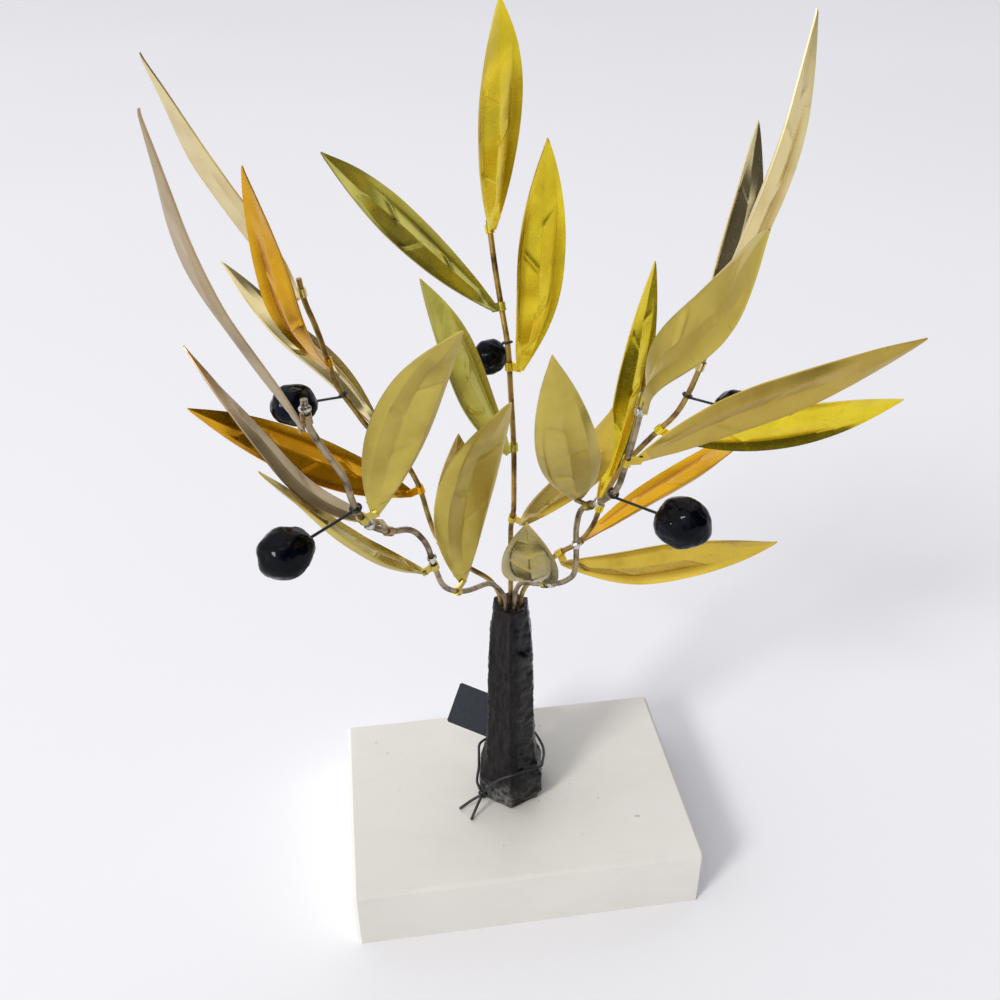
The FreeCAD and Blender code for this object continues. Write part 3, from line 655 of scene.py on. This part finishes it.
# The cord's route: heading from the trunk's axis in degrees, distance from it and height on the slab,
# in millimetres. Through the tag: along the tag from its hole, and out from its face.
CORD_TO_TAG = [(218, 18.2, 9), (228, 17.2, 14.5), (243, 15.6, 19.6), (261, 15.2, 22.4), (282, 13.9, 23),
               (302, 14.1, 22.2), (321, 15.6, 20.8), (342, 14.6, 19), (0, 15.2, 17.6), (21, 16.8, 16.6),
               (42, 19.4, 16.2)]
CORD_TO_KNOT = [(112, 15.6, 18.6), (141, 16.2, 18.2), (166, 14.4, 17.6), (186, 14.8, 15.6),
                (203, 17.6, 12.2), (217.5, 18.2, 8.6)]
CORD_THROUGH_TAG = [(-8.5, -2.6), (-5, -3.2), (3.5, 2.24)]
TAG_HOLE = (76.4, 20.1, 17.6)
TAG_TURN = (156.5, 15, 17)
KNOT = (218, 18.2, 8.6)
TAIL_ENDS = [(204, 26.6, 0.9), (221, 26.8, 0.9)]
CORD_RADIUS = 0.6 * MM
KNOT_STEPS = 120


def on_trunk(heading, distance, height):
    turn = math.radians(heading)
    out = Vector((math.cos(turn), math.sin(turn), 0)) * distance
    return TRUNK_AXIS + (out + Vector((0, 0, height))) * MM + Vector((0, 0, SLAB_TOP))


def tag_frame():
    heading, rise, roll = [math.radians(angle) for angle in TAG_TURN]
    turn = Matrix.Rotation(heading, 4, "Z") @ Matrix.Rotation(-rise, 4, "Y") @ Matrix.Rotation(roll, 4, "X")
    return Matrix.Translation(on_trunk(*TAG_HOLE)) @ turn


def cord_route():
    to_tag = [on_trunk(*place) for place in CORD_TO_TAG]
    through = [tag_frame() @ (Vector((x, y, 0)) * MM) for x, y in CORD_THROUGH_TAG]
    return to_tag + through + [on_trunk(*place) for place in CORD_TO_KNOT]


def smooth_line(points, steps):
    """A soft line through the points, straightest between the ones that are far apart."""
    line = []
    padded = [points[0] * 2 - points[1]] + points + [points[-1] * 2 - points[-2]]
    for before, start, end, after in zip(padded, padded[1:], padded[2:], padded[3:]):
        leaving = (end - before) * 0.42
        arriving = (after - start) * 0.42
        for i in range(steps):
            t = i / steps
            line.append(start * (2 * t ** 3 - 3 * t ** 2 + 1) + leaving * (t ** 3 - 2 * t ** 2 + t)
                        + end * (3 * t ** 2 - 2 * t ** 3) + arriving * (t ** 3 - t ** 2))
    return line + [points[-1]]


def cord_curve(name, lines, radius):
    curve = bpy.data.curves.new(name, "CURVE")
    curve.dimensions = "3D"
    curve.bevel_depth = radius
    curve.bevel_resolution = 4
    curve.use_fill_caps = True
    for line in lines:
        spline = curve.splines.new("POLY")
        spline.points.add(len(line) - 1)
        for target, point in zip(spline.points, line):
            target.co = (*point, 1)
        spline.use_smooth = True
    piece = bpy.data.objects.new(name, curve)
    scene.collection.objects.link(piece)
    return piece


def line_length(line):
    return sum((after - before).length for before, after in zip(line, line[1:]))


def knot_lines():
    """A hard overhand ball, and two tails out to the slab that end in small beads."""
    centre = on_trunk(*KNOT)
    ball = []
    for i in range(KNOT_STEPS + 1):
        turn = 4 * math.pi * i / KNOT_STEPS
        ring = 1.25 + 0.35 * math.cos(1.5 * turn)
        out = Vector((ring * math.cos(turn), 0.75 * math.sin(1.5 * turn), ring * math.sin(turn)))
        ball.append(centre + out * MM)
    lines = [ball]
    for place in TAIL_ENDS:
        end = on_trunk(*place)
        sag = (centre + end) / 2 + Vector((0, 0, 0.5)) * MM
        lines.append(smooth_line([centre, sag, end], 10))
        out = (end - centre).normalized() * 0.45 * MM
        lines.append([end - out, end + out])
    return lines


def make_cord():
    material = dull_finish("black_cord", rgb(10, 10, 12), rgb(34, 34, 38), 1400, 0.4, 0.0001)
    route = smooth_line(cord_route(), 8)
    cord = cord_curve("tag_cord_loop", [route], CORD_RADIUS)
    finished(cord, material, "black_cord", "tree", "tag_cord")
    knot = cord_curve("tag_cord_knot", knot_lines(), CORD_RADIUS * 1.05)
    finished(knot, material, "black_cord", "tree", "tag_cord")
    line_length(route)


# ------------------------------------------------------------------------------------ the whole


def paint(node, material):
    """A solid whose shape is already right takes its finish."""
    mesh = nodes[node].data
    mesh.materials.clear()
    mesh.materials.append(material)


def build_tree():
    finishes = {name: leaf_finish(name, *colours) for name, colours in LEAF_COLOURS.items()}
    for node in LEAF_COLOUR:
        make_leaf(node, finishes)
    make_trunk()
    olive = olive_finish()
    solder = solder_finish()
    black_wire = dull_finish("black_wire", rgb(12, 12, 14), rgb(30, 28, 28), 900, 0.35, 0.00005)
    steel = steel_finish()
    grey_wire = wire_finish("brass_wire_grey", rgb(172, 156, 128), rgb(78, 62, 46))
    gold_wire = wire_finish("brass_wire_gold", rgb(176, 146, 80), rgb(74, 54, 26))
    for node in nodes:
        if node.endswith("_olive"):
            make_olive(node, olive)
        elif "_solder_" in node:
            make_solder(node, solder)
        elif node.endswith("_olive_stalk"):
            paint(node, black_wire)
        elif node.endswith("_branch"):
            paint(node, grey_wire if "front" in node else gold_wire)
        elif node.startswith("stud_") or node == "trunk_stud":
            paint(node, steel)
    paint("marble_base", marble_finish())
    paint("hang_tag", dull_finish("tag_card", rgb(26, 32, 42), rgb(38, 44, 54), 800, 0.6, 0.00008))
    make_cord()


# ------------------------------------------------------------------------- floor, light, camera


WINDOW_PLACE = (-4.2, -3.4, 3.9)
WINDOW_AIM = (0, 0, 0.1)
WINDOW_SIZE = 1.4
WINDOW_WATTS = 230
WINDOW_COLOUR = (1.0, 0.99, 0.96)
# The room is bright but for one dark side, which the brass reflects.
DARK_SIDE = (0.75, -0.55, 0.36)
BRIGHT_WALLS = (1.02, 1.02, 1.06, 1)
DARK_WALLS = (0.05, 0.05, 0.06, 1)
FLOOR_REACH = 9.0
CAMERA_PLACE = Vector((-52.62, -331.37, 400.46)) * MM
CAMERA_YAW = 8.05
CAMERA_PITCH = 32.59
CAMERA_ROLL = -0.37
CAMERA_LENS = 37.8


def build_floor():
    corners = [(x * FLOOR_REACH, y * FLOOR_REACH, 0) for x, y in ((-1, -1), (1, -1), (1, 1), (-1, 1))]
    floor = new_piece("floor", corners, [(0, 1, 2, 3)])
    paper = Finish("floor_paper", Roughness=0.9)
    tone = paper.grain(paper.place(), 1.2, 1)
    colour = paper.mix(tone, rgb(236, 236, 239), rgb(243, 243, 246))
    floor.data.materials.append(paper.done(Base_Color=colour))


def area_light(name, place, target, size, watts, colour):
    light = bpy.data.lights.new(name, "AREA")
    light.size = size
    light.energy = watts
    light.color = colour
    lamp = bpy.data.objects.new(name, light)
    lamp.location = place
    lamp.rotation_euler = (Vector(target) - Vector(place)).to_track_quat("-Z", "Y").to_euler()
    scene.collection.objects.link(lamp)


def build_lights():
    area_light("window", WINDOW_PLACE, WINDOW_AIM, WINDOW_SIZE, WINDOW_WATTS, WINDOW_COLOUR)
    scene.world = bpy.data.worlds.new("room")
    scene.world.use_nodes = True
    room = Room(scene.world)
    toward = room.node("ShaderNodeTexCoord", output="Generated")
    facing = room.node("ShaderNodeVectorMath", {"operation": "DOT_PRODUCT"},
                       {0: toward, 1: DARK_SIDE}, output="Value")
    glow = room.mix(room.step(facing, 0.36, 0.72), BRIGHT_WALLS, DARK_WALLS)
    room.feed(room.shader.inputs["Color"], glow)


def build_camera():
    yaw = math.radians(CAMERA_YAW)
    pitch = math.radians(CAMERA_PITCH)
    roll = math.radians(CAMERA_ROLL)
    level = math.cos(pitch)
    forward = Vector((math.sin(yaw) * level, math.cos(yaw) * level, -math.sin(pitch)))
    camera_data = bpy.data.cameras.new("camera")
    camera_data.lens = CAMERA_LENS
    camera_data.sensor_width = 36
    camera_data.clip_end = 40
    camera = bpy.data.objects.new("camera", camera_data)
    turn = forward.to_track_quat("-Z", "Y").to_matrix().to_4x4()
    camera.matrix_world = Matrix.Translation(CAMERA_PLACE) @ turn
    camera.matrix_world = camera.matrix_world @ Matrix.Rotation(roll, 4, "Z")
    scene.collection.objects.link(camera)
    scene.camera = camera


build_tree()
build_floor()
build_lights()
build_camera()
scene.view_settings.view_transform = "Standard"
